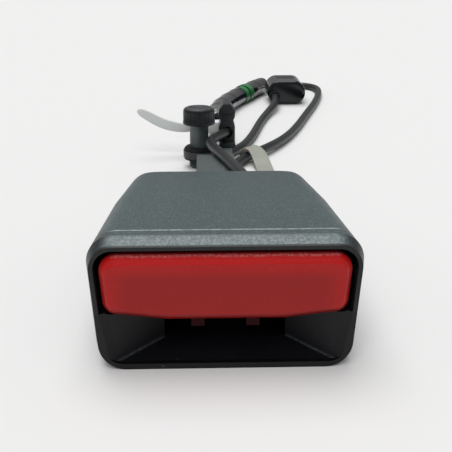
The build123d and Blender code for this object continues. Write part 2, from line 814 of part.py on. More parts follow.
def make_lead_tie():
    """Flat band round the outer loop, its tail lying on the floor towards the housing."""
    before = Vector(*lead_route[lead_tie_run])
    after = Vector(*lead_route[lead_tie_run + 1])
    centre = before + (after - before) * lead_tie_share
    bore = lead_diameter / 2 + 0.15
    outer = bore + lead_tie_thickness
    plane = Plane(centre, z_dir=after - before)
    ring = extrude(plane * (Circle(outer) - Circle(bore)), lead_tie_width / 2, both=True)
    low = centre.Z - outer
    tail = block(lead_tie_left, lead_tie_left + lead_tie_width, lead_tie_front, centre.Y + 3.0,
                 low, low + lead_tie_thickness)
    tail = fillet(tail.edges().filter_by(Axis.Z).group_by(Axis.Y)[0], 2.5)
    return ring + tail - extrude(plane * Circle(bore), 20, both=True)


def connector_section(y, half, low, high, corner):
    face = Plane.XZ.offset(-y) * make_face(Polyline(
        (connector_x - half, low), (connector_x + half, low), (connector_x + half, high),
        (connector_x - half, high), close=True))
    return fillet(face.vertices(), corner)


def make_connector_housing():
    back = connector_front + connector_length
    body = extrude(connector_section(connector_front, connector_half, 0, connector_height,
                                     connector_corner), connector_length, dir=(0, 1, 0))
    body = fillet(body.edges().group_by(Axis.Y)[0], connector_edge)
    socket = extrude(connector_section(back - socket_depth, connector_half - socket_wall,
                                       socket_wall, connector_height - socket_wall,
                                       socket_corner), socket_depth + 5, dir=(0, 1, 0))
    entry = rod("Y", (connector_entry_x, connector_front, connector_entry), seal_radius + 0.05, 6)
    ribs = [block(connector_x - rib_half, connector_x + rib_half, back - rib_pitch * i - rib_pitch,
                  back - rib_pitch * i - rib_pitch + rib_width, connector_height - rib_depth,
                  connector_height) for i in range(1, 4)]
    pins = [block(x - pin_size / 2, x + pin_size / 2, back - socket_depth - 4,
                  back, connector_height / 2 - pin_size / 2, connector_height / 2 + pin_size / 2)
            for x in pin_places()]
    body = body - socket - entry
    for cut in ribs + pins:
        body = body - cut
    return body


def pin_places():
    """Places of the terminals across the connector."""
    return [connector_x + side * pin_pitch / 2 for side in (-1, 1)]


def make_connector_terminals():
    start = connector_front + connector_length - socket_depth - 4
    return [chamfer(block(x - pin_size / 2, x + pin_size / 2, start, start + 4 + pin_length,
                          connector_height / 2 - pin_size / 2,
                          connector_height / 2 + pin_size / 2).faces().sort_by(Axis.Y)[-1].edges(),
                    0.35) for x in pin_places()]


def make_connector_seal():
    """Rubber seal between the lead and the connector's wire entry."""
    ring = rod("Y", (connector_entry_x, connector_front + 0.5, connector_entry), seal_radius, 5.0)
    return fillet(ring.edges().group_by(Axis.Y)[0], 0.7)


def make_terminal_lock():
    """Wedge pressed into the mating face, between the terminals."""
    back = connector_front + connector_length
    face = back - socket_depth
    middle = connector_height / 2
    plate = block(connector_x - lock_half, connector_x + lock_half, face, face + lock_depth,
                  middle - lock_rise, middle + lock_rise)
    for x in pin_places():
        plate = plate - block(x - pin_window, x + pin_window, face - 1, face + 5,
                              middle - pin_window, middle + pin_window)
    return plate


pieces = {
    "upper_cover": make_upper_cover,
    "lower_cover": make_lower_cover,
    "release_button": make_release_button,
    "frame": make_frame,
    "latch": make_latch,
    "latch_pivot_pin": make_latch_pivot_pin,
    "latch_spring": make_latch_spring,
    "lock_pin": make_lock_pin,
    "button_springs": make_button_springs,
    "ejector": make_ejector,
    "ejector_spring": make_ejector_spring,
    "magnet": make_magnet,
    "switch_carrier": make_switch_carrier,
    "switch_board": make_switch_board,
    "hall_sensor": make_hall_sensor,
    "lead_grommet": make_lead_grommet,
    "stalk": make_stalk,
    "stalk_rivets": make_stalk_rivets,
    "anchor_bolt": make_anchor_bolt,
    "bolt_cap": make_bolt_cap,
    "bolt_grommet": make_bolt_grommet,
    "lead_clip": make_lead_clip,
    "clip_tie": make_clip_tie,
    "switch_lead": make_switch_lead,
    "lead_conduit": make_lead_conduit,
    "marker_band": make_marker_band,
    "lead_tie": make_lead_tie,
    "connector_seal": make_connector_seal,
    "connector_housing": make_connector_housing,
    "connector_terminals": make_connector_terminals,
    "terminal_lock": make_terminal_lock,
}


def main():
    os.makedirs("parts", exist_ok=True)
    shift = Pos(0, -overall_length / 2, 0)
    for name, make in pieces.items():
        made = make()
        solids = made if isinstance(made, list) else made.solids()
        piece = Compound(children=[shift * solid for solid in solids])
        export_step(piece, f"parts/{name}.step")


main()
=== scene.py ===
# %% [markdown]
# # An end-release seat belt buckle and its switch lead
# A car's front seat buckle is a moulded housing on a steel stalk. Its release button fills the
# front, the belt's tongue goes in under the button, and a thin lead runs back from a switch
# inside to a connector under the seat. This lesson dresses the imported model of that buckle:
# it sets up the camera and light, lays the lead, gives each moulding its surface, and models
# the small soft and turned parts again with more detail than the construction model has.

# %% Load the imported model
import math

import bpy
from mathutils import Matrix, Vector


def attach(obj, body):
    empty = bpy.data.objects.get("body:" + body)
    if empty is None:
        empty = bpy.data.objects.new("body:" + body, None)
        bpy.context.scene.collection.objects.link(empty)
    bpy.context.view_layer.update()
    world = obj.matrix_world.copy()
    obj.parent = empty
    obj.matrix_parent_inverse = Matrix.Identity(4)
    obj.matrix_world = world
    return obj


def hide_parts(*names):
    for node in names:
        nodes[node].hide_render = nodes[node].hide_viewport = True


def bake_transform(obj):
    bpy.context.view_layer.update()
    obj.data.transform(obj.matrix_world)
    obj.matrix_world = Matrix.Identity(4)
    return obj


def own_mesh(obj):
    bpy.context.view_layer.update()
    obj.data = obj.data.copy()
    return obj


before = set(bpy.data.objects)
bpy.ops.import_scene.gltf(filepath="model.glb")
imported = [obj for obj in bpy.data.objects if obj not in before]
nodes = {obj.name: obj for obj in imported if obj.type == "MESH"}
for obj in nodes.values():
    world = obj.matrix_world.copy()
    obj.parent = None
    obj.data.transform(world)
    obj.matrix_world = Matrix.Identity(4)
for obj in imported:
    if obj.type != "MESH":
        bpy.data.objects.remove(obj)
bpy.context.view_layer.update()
front_rim = -0.08775
print("pieces in the packed model:", len(nodes))

# %% [markdown]
# ## Where we stand
# The camera looks down on the button from close in front, 147 mm away, so the housing narrows
# clearly towards its rear edge. A lens of 62 mm on a 36 mm sensor lets it fill the picture at
# that distance, and a small turn towards +X keeps the loops of the lead in it.

# %% Camera
camera_height = 0.086
camera_distance = 0.147
camera_side = -0.0043
look_down = math.radians(20)
look_aside = math.atan(0.029)
lens_mm = 62.12
sensor_mm = 36
nearest_seen = 0.01

camera_data = bpy.data.cameras.new("camera")
camera_data.lens = lens_mm
camera_data.sensor_width = sensor_mm
camera_data.clip_start = nearest_seen
camera = bpy.data.objects.new("camera", camera_data)
bpy.context.scene.collection.objects.link(camera)
camera.location = (camera_side, front_rim - camera_distance, camera_height)
camera.rotation_euler = (math.radians(90) - look_down, 0, -look_aside)
bpy.context.scene.camera = camera
print("camera at", tuple(round(v, 4) for v in camera.location))

# %% [markdown]
# ## The lead's line
# A lead is one fixed length of something bendy, so it is one smooth spline. Its control points
# are the corners of the route that the construction model's tube follows, measured here from
# the front rim. A spline of order 3 cuts inside those corners in soft arcs, as a lead does.

# %% The route from the strain relief to the connector
lead_route = [
    (0.0100, 0.0850, 0.00920),
    (0.0100, 0.0900, 0.00920),
    (0.0102, 0.0990, 0.01220),
    (0.0072, 0.1100, 0.01300),
    (0.0024, 0.1290, 0.01310),
    (-0.0026, 0.1480, 0.01300),
    (0.0006, 0.1580, 0.01290),
    (0.0052, 0.1675, 0.01250),
    (0.0052, 0.1800, 0.01250),
    (0.0044, 0.1930, 0.01060),
    (0.0020, 0.2100, 0.00740),
    (0.0008, 0.2300, 0.00520),
    (0.0034, 0.2520, 0.00510),
    (0.0110, 0.2770, 0.00510),
    (0.0206, 0.3000, 0.00510),
    (0.0296, 0.3210, 0.00510),
    (0.0415, 0.3360, 0.00310),
    (0.0550, 0.3400, 0.00210),
    (0.0655, 0.3300, 0.00210),
    (0.0635, 0.3080, 0.00210),
    (0.0570, 0.2800, 0.00210),
    (0.0490, 0.2520, 0.00210),
    (0.0410, 0.2230, 0.00210),
    (0.0320, 0.1960, 0.00250),
    (0.0205, 0.1735, 0.00335),
    (0.0115, 0.1625, 0.00275),
    (0.0066, 0.1500, 0.00210),
    (0.0050, 0.1380, 0.00210),
    (0.0125, 0.1180, 0.00210),
    (0.0125, 0.1076, 0.00210),
    (0.0052, 0.1003, 0.00210),
    (-0.0052, 0.1003, 0.00210),
    (-0.0125, 0.1076, 0.00210),
    (-0.0125, 0.1180, 0.00210),
    (-0.0029, 0.1380, 0.00210),
    (0.0006, 0.1510, 0.00210),
    (0.0026, 0.1640, 0.00210),
    (0.0070, 0.1745, 0.00210),
    (0.0132, 0.1860, 0.00210),
    (0.0180, 0.2040, 0.00210),
    (0.0222, 0.2260, 0.00210),
    (0.0256, 0.2420, 0.00210),
    (0.0298, 0.2570, 0.00260),
    (0.0354, 0.2720, 0.00500),
    (0.0354, 0.2850, 0.00500),
]
lead_diameter = 0.0038
steps_per_point = 16


def spline_through(name, points):
    """A curve of one open spline of order 3 with these control points."""
    curve = bpy.data.curves.new(name, "CURVE")
    curve.dimensions = "3D"
    curve.resolution_u = steps_per_point
    spline = curve.splines.new("NURBS")
    spline.points.add(len(points) - 1)
    for point, (x, y, z) in zip(spline.points, points):
        point.co = (x, y + front_rim, z, 1)
    spline.order_u = 3
    spline.use_endpoint_u = True
    piece = bpy.data.objects.new(name, curve)
    bpy.context.scene.collection.objects.link(piece)
    return piece


switch_lead = spline_through("lead", lead_route)
centreline = bpy.data.meshes.new_from_object(switch_lead)
lead_points = [vertex.co.copy() for vertex in centreline.vertices]
bpy.data.meshes.remove(centreline)
lead_run = [0.0]
for here, there in zip(lead_points, lead_points[1:]):
    lead_run.append(lead_run[-1] + (there - here).length)
switch_lead.data.bevel_depth = lead_diameter / 2
switch_lead.data.bevel_resolution = 6
switch_lead.data.use_fill_caps = True
print("lead is", round(lead_run[-1], 4), "m long in", len(lead_points), "steps")

# %% [markdown]
# ## Light and ground
# A product is judged best in plain light. Two wide suns work like a studio ceiling: one
# stands a little behind and lights the tops, the other stands in front and lights the upright
# faces. A weak white world fills the shadows. Together they add up to about 1 on a level
# surface, so a colour renders about as it is written. The sun in front is left out of
# reflections, so it lights the faces without adding a sheen.
#
# The ground is one big matte sheet with two colours, chosen by the kind of ray. The camera and
# reflections see it almost white. Every other ray sees a mid grey, so it throws back only as
# much light as plain ground would. It is lit like anything else, so it keeps the shadow.

# %% Lamp, world and floor
world_level = 0.3
sideways_lean = math.radians(-6)
floor_width = 12
floor_seen = (0.88, 0.88, 0.876, 1)
floor_lighting = (0.34, 0.34, 0.34, 1)


def soft_sky(name, level, lean, width):
    """A sun whose disc is as wide as a studio ceiling; lean and width are in degrees."""
    lamp = bpy.data.lights.new(name, "SUN")
    lamp.energy = level * math.pi
    lamp.angle = math.radians(width)
    holder = bpy.data.objects.new(name, lamp)
    holder.rotation_euler = (math.radians(lean), sideways_lean, 0)
    bpy.context.scene.collection.objects.link(holder)
    return holder


soft_sky("ceiling", 0.42, -18, 45)
soft_sky("front_ceiling", 0.38, 38, 40).visible_glossy = False

world = bpy.data.worlds.new("world")
bpy.context.scene.world = world
world.use_nodes = True
world.node_tree.nodes["Background"].inputs["Color"].default_value = (1, 1, 1, 1)
world.node_tree.nodes["Background"].inputs["Strength"].default_value = world_level
bpy.context.scene.view_settings.view_transform = "Standard"


def seen_ray(tree):
    """1 for the rays of the camera and for those that glossy and clear surfaces send out."""
    rays = tree.nodes.new("ShaderNodeLightPath")
    total = rays.outputs["Is Camera Ray"]
    for kind in ("Is Glossy Ray", "Is Transmission Ray"):
        either = tree.nodes.new("ShaderNodeMath")
        either.operation = "MAXIMUM"
        tree.links.new(total, either.inputs[0])
        tree.links.new(rays.outputs[kind], either.inputs[1])
        total = either.outputs[0]
    return total


bpy.ops.mesh.primitive_plane_add(size=floor_width)
floor = bpy.context.active_object
floor.name = "floor"
floor_paint = bpy.data.materials.new("floor_paint")
floor_paint.use_nodes = True
floor_tree = floor_paint.node_tree
floor_surface = floor_tree.nodes["Principled BSDF"]
floor_surface.inputs["Roughness"].default_value = 0.95
floor_surface.inputs["Specular IOR Level"].default_value = 0.0
floor_colour = floor_tree.nodes.new("ShaderNodeMix")
floor_colour.data_type = "RGBA"
floor_tree.links.new(seen_ray(floor_tree), floor_colour.inputs[0])
floor_colour.inputs[6].default_value = floor_lighting
floor_colour.inputs[7].default_value = floor_seen
floor_tree.links.new(floor_colour.outputs[2], floor_surface.inputs["Base Color"])
floor.data.materials.append(floor_paint)
print("floor is", floor.dimensions.x, "m wide")

# %% [markdown]
# ## A small language for materials
# A material is a graph of nodes, and most of its nodes only do arithmetic. Wrapping a socket
# in a class that knows `+ - *` lets that arithmetic be written as a formula. One method adds
# every other kind of node. All patterns read Object coordinates: the pieces sit at the origin,
# so these are plain metres, and a grain of 0.3 mm is 0.3 mm on every piece.

# %% Sockets in formulas, and materials
class Value:
    """A shader socket that can stand in a formula: each operator adds its Math node."""

    def __init__(self, finish, socket):
        self.finish, self.socket = finish, socket

    def maths(self, operation, first, second=0.0):
        return self.finish.add("ShaderNodeMath", {"operation": operation}, {0: first, 1: second})

    def __add__(self, other):
        return self.maths("ADD", self, other)

    def __sub__(self, other):
        return self.maths("SUBTRACT", self, other)

    def __mul__(self, other):
        return self.maths("MULTIPLY", self, other)

    def __radd__(self, other):
        return self.maths("ADD", other, self)

    def __rsub__(self, other):
        return self.maths("SUBTRACT", other, self)

    def __abs__(self):
        return self.maths("ABSOLUTE", self)

    def sine(self):
        return self.maths("SINE", self)

    def rise(self, low, high):
        """0 below low, 1 above high and a smooth step between them."""
        return self.finish.add("ShaderNodeMapRange", {"interpolation_type": "SMOOTHSTEP"},
                               {"Value": self, "From Min": low, "From Max": high})

    def between(self, low, full, fade, high):
        """1 from full to fade, and a smooth step down to 0 at low and at high."""
        return self.rise(low, full) * (1 - self.rise(fade, high))


class Finish:
    """A material being made. Its one method adds any node; the rest only use it."""

    def __init__(self, name, **uniform):
        self.material = bpy.data.materials.new(name)
        self.material.use_nodes = True
        self.tree = self.material.node_tree
        self.surface = self.tree.nodes["Principled BSDF"]
        self.set(**uniform)
        self.where = self.add("ShaderNodeTexCoord", output="Object")

    def set(self, **sockets):
        """Sockets of the surface, as numbers or as links; an underscore stands for a space."""
        for name, value in sockets.items():
            self.feed(self.surface.inputs[name.replace("_", " ")], value)

    def feed(self, socket, value):
        if isinstance(value, Value):
            self.tree.links.new(value.socket, socket)
        else:
            socket.default_value = value

    def add(self, kind, settings=None, inputs=None, output=0):
        node = self.tree.nodes.new(kind)
        for name, value in (settings or {}).items():
            setattr(node, name, value)
        for name, value in (inputs or {}).items():
            self.feed(node.inputs[name], value)
        return Value(self, node.outputs[output])

    def axis(self, name):
        """One coordinate of the place, in metres."""
        return self.add("ShaderNodeSeparateXYZ", None, {0: self.where}, output=name)

    def depth(self):
        """How far the place lies behind the housing's front rim, in metres."""
        return self.axis("Y") - front_rim

    def stretched(self, x, y, z):
        """The place with its axes scaled, for grain that runs one way."""
        return self.add("ShaderNodeMapping", None, {"Vector": self.where, "Scale": (x, y, z)})

    def noise(self, grain, detail=2.0, where=None):
        """Soft noise from 0 to 1, with lumps of this width in metres."""
        return self.add("ShaderNodeTexNoise", None, {
            "Vector": where or self.where, "Scale": 1 / grain, "Detail": detail})

    def cells(self, grain):
        """Distance to scattered points that lie this far apart in metres."""
        return self.add("ShaderNodeTexVoronoi", None, {
            "Vector": self.where, "Scale": 1 / grain})

    def colours(self, mask, first, second):
        """The first colour where the mask is 0 and the second where it is 1."""
        return self.add("ShaderNodeMix", {"data_type": "RGBA"}, {0: mask, 6: first, 7: second},
                        output=2)

    def relief(self, height, depth, under=None):
        """The normal of a surface that rises by this depth in metres from height 0 to 1."""
        inputs = {"Height": height, "Distance": depth}
        if under:
            inputs["Normal"] = under
        return self.add("ShaderNodeBump", None, inputs)


def dress(material, *names):
    """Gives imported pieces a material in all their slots."""
    for name in names:
        mesh = nodes[name].data
        mesh.materials.clear()
        mesh.materials.append(material)
    print(material.name, "on", ", ".join(names))


# %% [markdown]
# ## Moulded plastics
# The cover, the button and the black mouldings come out of steel tools whose faces were etched
# or spark eroded. The grain is a fine bump with slightly shinier peaks. Large faint clouds in
# the colour and in the gloss stand for handling, and scattered pale specks are dust. Brighter
# specks on the grain are painted glints, and masks paint highlight and shade into the colour.

# %% Plastic finishes
dust_colour = (0.5, 0.52, 0.5, 1)
glint_gain = 2.6


def plastic(name, colour, pale, roughness, grain=0.0003, depth=0.00001, dust=0.0, painted_glints=0.0,
            painted_light_and_wear=None, ridge=None, coat=None, **uniform):
    """A moulding with etched grain. Pale is its colour where it has been rubbed.

    A painted-light function of the finish returns masks and the colours that they bring:
    painted highlight and painted shade, and for the lower cover wear too. Glints are pale specks
    painted on the grain, a painted highlight. A ridge returns a height that is added to the
    grain's, and a coat says where it is glossy.
    """
    finish = Finish(name, **uniform)
    cloud = finish.noise(0.018, 3.0)
    rubbed = finish.noise(0.004, 4.0).rise(0.52, 0.75) * 0.35 + cloud.rise(0.35, 0.75) * 0.4
    base = finish.colours(rubbed, (*colour, 1), (*pale, 1))
    gloss = roughness + (cloud - 0.5) * 0.12 - rubbed * 0.06
    # Bright specks on the grain are painted glints, a painted highlight.
    if painted_glints:
        glint_spots = finish.noise(0.00042, 2.0).rise(0.45, 0.75)
        base = finish.colours(glint_spots * painted_glints, base, tuple(glint_gain * c for c in pale) + (1,))
    # Masks of painted highlight and painted shade, and of wear, go over the colour.
    if painted_light_and_wear:
        for mask, tone in painted_light_and_wear(finish):
            base = finish.colours(mask, base, (*tone, 1))
    if dust:
        speck = 1 - finish.cells(0.0035).rise(0.035, 0.06)
        base = finish.colours(speck * finish.noise(0.009).rise(0.5, 0.56) * dust, base,
                              dust_colour)
    if coat:
        finish.set(Coat_Weight=coat(finish))
    pits = finish.cells(grain) * 0.6 + finish.noise(grain * 2.4, 3.0) * 0.8
    normal = finish.relief(pits, depth)
    if ridge:
        height, rise = ridge(finish)
        normal = finish.relief(height, rise, normal)
    finish.set(Base_Color=base, Roughness=gloss, Normal=normal)
    return finish.material


def cover_painted_light(finish):
    """Painted highlight on bevel and line; painted shade on the flanks, front corners and rim."""
    across, depth, high = abs(finish.axis("X")), finish.depth(), finish.axis("Z")
    middle = 1 - across.rise(0.0225, 0.0262)
    bevel = depth.between(0.0003, 0.0008, 0.0024, 0.0040) * middle
    highlight_mottle = finish.noise(0.00065, 3.0).rise(0.35, 0.7)
    line = depth.between(0.0068, 0.0071, 0.0076, 0.0079) * middle
    highlight_breaks = finish.noise(0.0009, 2.0).rise(0.3, 0.62)
    flank_shade = 1 - high.rise(0.012, 0.0275)
    corner = across.rise(0.0228, 0.0266) * (1 - depth.rise(0.004, 0.013))
    rim = 1 - depth.rise(0.0002, 0.0007)
    # The flanks, the front corners and the rim get painted shade; the bevel and the line a painted
    # highlight.
    return [(flank_shade * 0.85, (0.022, 0.025, 0.026)),
            (corner * 0.85, (0.018, 0.020, 0.022)),
            (bevel * (0.30 + highlight_mottle * 0.60), (0.25, 0.29, 0.30)),
            (line * (0.35 + highlight_breaks * 0.65), (0.46, 0.53, 0.53)),
            (rim * 0.96, (0.0055, 0.0055, 0.0065))]


def cover_ridge(finish):
    """A fine line moulded across the top, just behind the bevel."""
    line_height = 0.00025
    line = finish.depth().between(0.0069, 0.0072, 0.0074, 0.0077)
    return line * finish.axis("Z").rise(0.0275, 0.0282), line_height


def button_painted_light(finish):
    """Painted shade on the face's middle and deep in; painted highlight on its upper edge and
    ends.
    """
    across, depth, high = abs(finish.axis("X")), finish.depth(), finish.axis("Z")
    outside = 1 - depth.rise(0.0004, 0.0018)
    middle = (1 - across.rise(0.0200, 0.0262)) * (1 - high.rise(0.0205, 0.0238))
    grit = finish.noise(0.0006, 3.0).rise(0.42, 0.62)
    top_highlight = high.rise(0.0254, 0.0260) * outside * (0.2 + grit * 0.6)
    ends = across.rise(0.0252, 0.0266) * outside * high.rise(0.010, 0.014)
    # The middle of the face and the tabs deep inside get painted shade; the upper edge and the
    # ends get a painted highlight.
    return [(middle * outside * 0.5, (0.24, 0.010, 0.009)),
            (ends * 0.55, (0.80, 0.13, 0.13)),
            (top_highlight, (0.70, 0.32, 0.32)),
            (depth.rise(0.0026, 0.0046), (0.045, 0.003, 0.005))]


def button_coat(finish):
    """Only what fingers touch is polished."""
    return (1 - finish.depth().rise(0.0020, 0.0050)) * 0.45


funnel_depth = 0.009
funnel_lip = 0.001
slot_floor = 0.0030
slot_half = 0.0135
funnel_mouth = 0.0246
funnel_rise = (slot_floor - funnel_lip) / funnel_depth
funnel_slope = (funnel_mouth - slot_half) / funnel_depth


def lower_painted_shade_and_wear(finish):
    """The outside and the lip get painted shade, and the funnel's two lower corners are worn pale.
    """
    across, depth, high = abs(finish.axis("X")), finish.depth(), finish.axis("Z")
    outside = across.rise(0.0262, 0.0274) * high.rise(0.0, 0.013)
    fold = abs(across - (funnel_mouth - depth * funnel_slope))
    above = high - funnel_lip - depth * funnel_rise
    worn = (1 - fold.rise(0.0, 0.0005)) * (1 - above.rise(0.0002, 0.0007)) * depth.between(
        0.0002, 0.0008, funnel_depth - 0.0004, funnel_depth + 0.0004)
    grit = finish.noise(0.0007, 3.0).rise(0.35, 0.65)
    lip_shade = 1 - depth.rise(0.0008, 0.0016)
    # The outside gets the same painted shade as the cover's flanks, and the front lip a painted
    # shade near black.
    return [(outside * depth.rise(0.001, 0.008) * 0.7, (0.022, 0.025, 0.026)),
            (lip_shade, (0.0035, 0.0036, 0.0045)),
            (worn * (0.3 + grit * 0.5), (0.075, 0.085, 0.09))]


def cap_top_painted_light(finish):
    """The cap's top is painted a paler grey, a painted highlight from the light above."""
    # Painted highlight on the top.
    return [(finish.axis("Z").rise(0.0236, 0.0243) * 0.8, (0.060, 0.062, 0.067))]


cover_plastic = plastic("cover_plastic", (0.049, 0.073, 0.075), (0.057, 0.083, 0.084), 0.42,
                        depth=0.00004, dust=0.3, painted_glints=0.9, painted_light_and_wear=cover_painted_light,
                        ridge=cover_ridge, Specular_IOR_Level=0.4)
# The lower cover's plastic is a darker copy of the cover's, a painted shade for the funnel's
# shadow.
lower_plastic = plastic("lower_plastic", (0.0050, 0.0055, 0.0075), (0.009, 0.0095, 0.0125),
                        0.45, depth=0.00003, dust=0.25, painted_light_and_wear=lower_painted_shade_and_wear,
                        Specular_IOR_Level=0.35)
button_red = plastic("button_red", (0.55, 0.010, 0.010), (0.60, 0.017, 0.016), 0.42,
                     grain=0.0004, depth=0.00003, painted_glints=0.06, painted_light_and_wear=button_painted_light,
                     coat=button_coat, Specular_IOR_Level=0.12, Coat_Roughness=0.24)
black_plastic = plastic("black_plastic", (0.014, 0.016, 0.018), (0.028, 0.031, 0.034), 0.38,
                        depth=0.000012)
gloss_black = plastic("gloss_black", (0.003, 0.0045, 0.0062), (0.006, 0.008, 0.011), 0.16,
                      depth=0.000003, Coat_Weight=0.25, Coat_Roughness=0.08,
                      Specular_IOR_Level=0.3)
cap_black = plastic("cap_black", (0.008, 0.010, 0.011), (0.014, 0.016, 0.018), 0.36,
                    depth=0.000012, painted_light_and_wear=cap_top_painted_light, Specular_IOR_Level=0.35)
ejector_plastic = plastic("ejector_plastic", (0.006, 0.006, 0.007), (0.010, 0.010, 0.011), 0.5)
green_plastic = plastic("green_plastic", (0.022, 0.20, 0.055), (0.035, 0.26, 0.08), 0.36)
black_rubber = plastic("black_rubber", (0.008, 0.0085, 0.009), (0.016, 0.017, 0.018), 0.62,
                       depth=0.000015, Specular_IOR_Level=0.3)
nylon_pale = plastic("nylon_pale", (0.82, 0.90, 0.89), (0.88, 0.93, 0.92), 0.3,
                     grain=0.0008, depth=0.000006, Subsurface_Weight=0.35,
                     Subsurface_Scale=0.002)
nylon_cream = plastic("nylon_cream", (0.35, 0.36, 0.31), (0.42, 0.43, 0.37), 0.45,
                      grain=0.0008, depth=0.000008, Subsurface_Weight=0.25,
                      Subsurface_Scale=0.0015)
dress(cover_plastic, "upper_cover")
dress(lower_plastic, "lower_cover")
dress(button_red, "release_button")
dress(black_plastic, "switch_carrier", "hall_sensor")
dress(gloss_black, "connector_housing")
dress(ejector_plastic, "ejector")
dress(green_plastic, "terminal_lock")
dress(black_rubber, "lead_grommet", "connector_seal", "bolt_grommet")

# %% [markdown]
# ## Metals
# The frame is sheet steel with a zinc coat, so it shows stains and the lines of rolling. The
# latch and its lock pin are hardened and dark, springs are drawn wire, and the stalk is
# painted. A metal's colour is its reflection, so Metallic is 1 and the pattern sits in
# roughness more than in colour. The bolt's flake coat hides most of its metal, so there
# Metallic is low.

# %% Metal finishes
def metal(name, colour, dark, roughness, run=(1, 1, 1), grain=0.0006, depth=0.000004,
          bare=1.0):
    """Metal whose fine lines run along the axis that is stretched least.

    Bare is the share of metal that shows; below 1 the rest is a thin flake coat.
    """
    finish = Finish(name, Metallic=bare)
    lines = finish.noise(grain, 4.0, finish.stretched(*run))
    stain = finish.noise(0.007, 4.0).rise(0.4, 0.8)
    finish.set(Base_Color=finish.colours(stain, (*colour, 1), (*dark, 1)),
               Roughness=roughness + (lines - 0.5) * 0.2 + stain * 0.12,
               Normal=finish.relief(lines, depth))
    return finish.material


zinc_steel = metal("zinc_steel", (0.075, 0.078, 0.085), (0.05, 0.052, 0.056), 0.45,
                   (1, 0.12, 1))
hard_steel = metal("hard_steel", (0.05, 0.05, 0.055), (0.03, 0.03, 0.033), 0.5, (0.15, 1, 1))
spring_steel = metal("spring_steel", (0.55, 0.55, 0.55), (0.38, 0.38, 0.37), 0.22)
magnet_metal = metal("magnet_metal", (0.62, 0.62, 0.63), (0.5, 0.5, 0.5), 0.15)
bolt_steel = metal("bolt_steel", (0.115, 0.135, 0.138), (0.075, 0.088, 0.090), 0.5,
                   (1, 1, 0.15), bare=0.3)
terminal_brass = metal("terminal_brass", (0.72, 0.69, 0.60), (0.55, 0.48, 0.34), 0.25)
dress(zinc_steel, "frame", "latch_pivot_pin")
dress(hard_steel, "latch", "lock_pin")
dress(magnet_metal, "magnet")
dress(terminal_brass, "connector_terminals")

# %% Paint on the stalk, and the switch's board
eye_shade_start = 0.1515
eye_shade_full = 0.1535
track_pitch = 2 * math.pi / 2600


def stalk_paint_finish():
    """Grey electrocoat with scratches; the eye end gets painted shade, but not its +X side."""
    finish = Finish("stalk_paint", Metallic=0.0)
    flake = finish.noise(0.0009, 3.0)
    scratch = finish.noise(0.0016, 5.0, finish.stretched(1, 0.08, 1)).rise(0.66, 0.72)
    base = finish.colours(finish.noise(0.01, 3.0), (0.085, 0.104, 0.102, 1),
                          (0.112, 0.134, 0.131, 1))
    # Painted shade on the stalk's end at the eye, but not on its +X side.
    eye_shade = finish.depth().rise(eye_shade_start, eye_shade_full) * (
        1 - finish.axis("X").rise(0.0015, 0.0035))
    base = finish.colours(eye_shade * 0.9, base, (0.016, 0.018, 0.019, 1))
    finish.set(Base_Color=finish.colours(scratch * 0.5, base, (0.24, 0.26, 0.255, 1)),
               Roughness=0.36 + flake * 0.14, Normal=finish.relief(flake, 0.00001))
    return finish.material


def circuit_board_finish():
    """Green solder mask with copper tracks showing through as darker lines."""
    finish = Finish("circuit_board")
    track = (finish.axis("Y") * (2 * math.pi / track_pitch)).sine().rise(0.1, 0.35)
    finish.set(Base_Color=finish.colours(track, (0.018, 0.13, 0.05, 1), (0.03, 0.2, 0.09, 1)),
               Roughness=0.25 + finish.noise(0.002) * 0.15,
               Normal=finish.relief(track, 0.00003))
    return finish.material


stalk_paint = stalk_paint_finish()
dress(stalk_paint, "stalk", "stalk_rivets")
dress(circuit_board_finish(), "switch_board")

# %% [markdown]
# ## Small turned and moulded parts
# The bolt, its cap, the ties and the clip are each one small shape, so they are modelled in edit
# mode. A circle that is extruded and widened step by step is a lathe: the bolt and its cap are
# turned that way. Flat bands are one edge of a plane, extruded from place to place, and a
# Solidify modifier gives them their thickness.

# %% Helpers for modelling
def start_on(name):
    """Names the primitive that was just added, and opens it in edit mode, all selected."""
    piece = bpy.context.active_object
    piece.name = name
    bpy.ops.object.mode_set(mode="EDIT")
    bpy.ops.mesh.select_all(action="SELECT")
    return piece


def pick(piece, wanted, kind="faces"):
    """Selects only the faces, edges or vertices for which wanted(element) is true."""
    bpy.ops.mesh.select_mode(type={"faces": "FACE", "edges": "EDGE", "vertices": "VERT"}[kind])
    bpy.ops.mesh.select_all(action="DESELECT")
    bpy.ops.object.mode_set(mode="OBJECT")
    for element in getattr(piece.data, "polygons" if kind == "faces" else kind):
        element.select = bool(wanted(element))
    bpy.ops.object.mode_set(mode="EDIT")


def modify(piece, kind, **settings):
    """Adds a modifier and applies it."""
    modifier = piece.modifiers.new(kind.lower(), kind)
    for name, value in settings.items():
        setattr(modifier, name, value)
    bpy.ops.object.modifier_apply(modifier=modifier.name)


def close_up(piece, material, edge=0.0, sharp=35):
    """Leaves edit mode, settles the place, rounds edges over sharp degrees, adds the finish."""
    bpy.ops.mesh.select_all(action="SELECT")
    bpy.ops.mesh.normals_make_consistent(inside=False)
    bpy.ops.object.mode_set(mode="OBJECT")
    bpy.ops.object.select_all(action="DESELECT")
    piece.select_set(True)
    bpy.context.view_layer.objects.active = piece
    bpy.ops.object.transform_apply(location=True, rotation=True, scale=True)
    if edge:
        modify(piece, "BEVEL", width=edge, segments=3, limit_method="ANGLE",
               angle_limit=math.radians(sharp), harden_normals=False)
    bpy.ops.object.shade_smooth_by_angle(angle=math.radians(40))
    piece.data.materials.clear()
    piece.data.materials.append(material)
    print(piece.name, "has", len(piece.data.polygons), "faces")
    return piece


